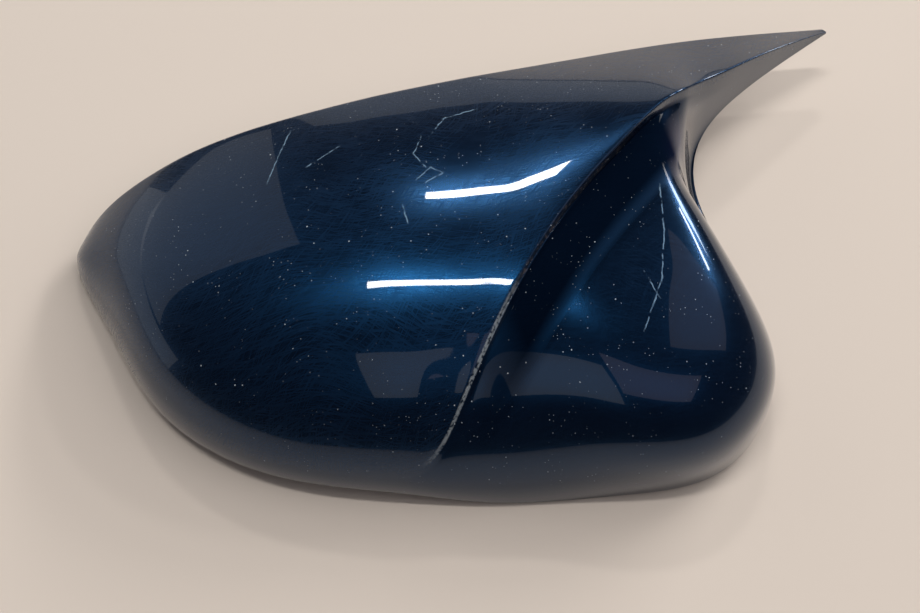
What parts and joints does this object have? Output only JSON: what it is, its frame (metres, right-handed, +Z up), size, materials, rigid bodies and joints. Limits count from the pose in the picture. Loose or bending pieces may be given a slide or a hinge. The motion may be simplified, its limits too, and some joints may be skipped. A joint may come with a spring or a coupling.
{
  "type": "wing mirror cover",
  "caption": "Gloss black moulded cap for a car's wing mirror: a domed hollow shell with a creased panel drawn out to a flat pointed horn, snap hooks and locating pegs inside.",
  "frame": {"origin": "centre of the bounding box at floor level, where the rim rests", "axes": "+X along the cover to the tip of its horn, +Y to the upper long side, +Z up out of the crown"},
  "size_m": [0.2508, 0.161, 0.0526],
  "materials": {
    "gloss_black": "gloss"
  },
  "bodies": {
    "root": {"mirror_cover": "gloss_black"}
  },
  "joints": []
}
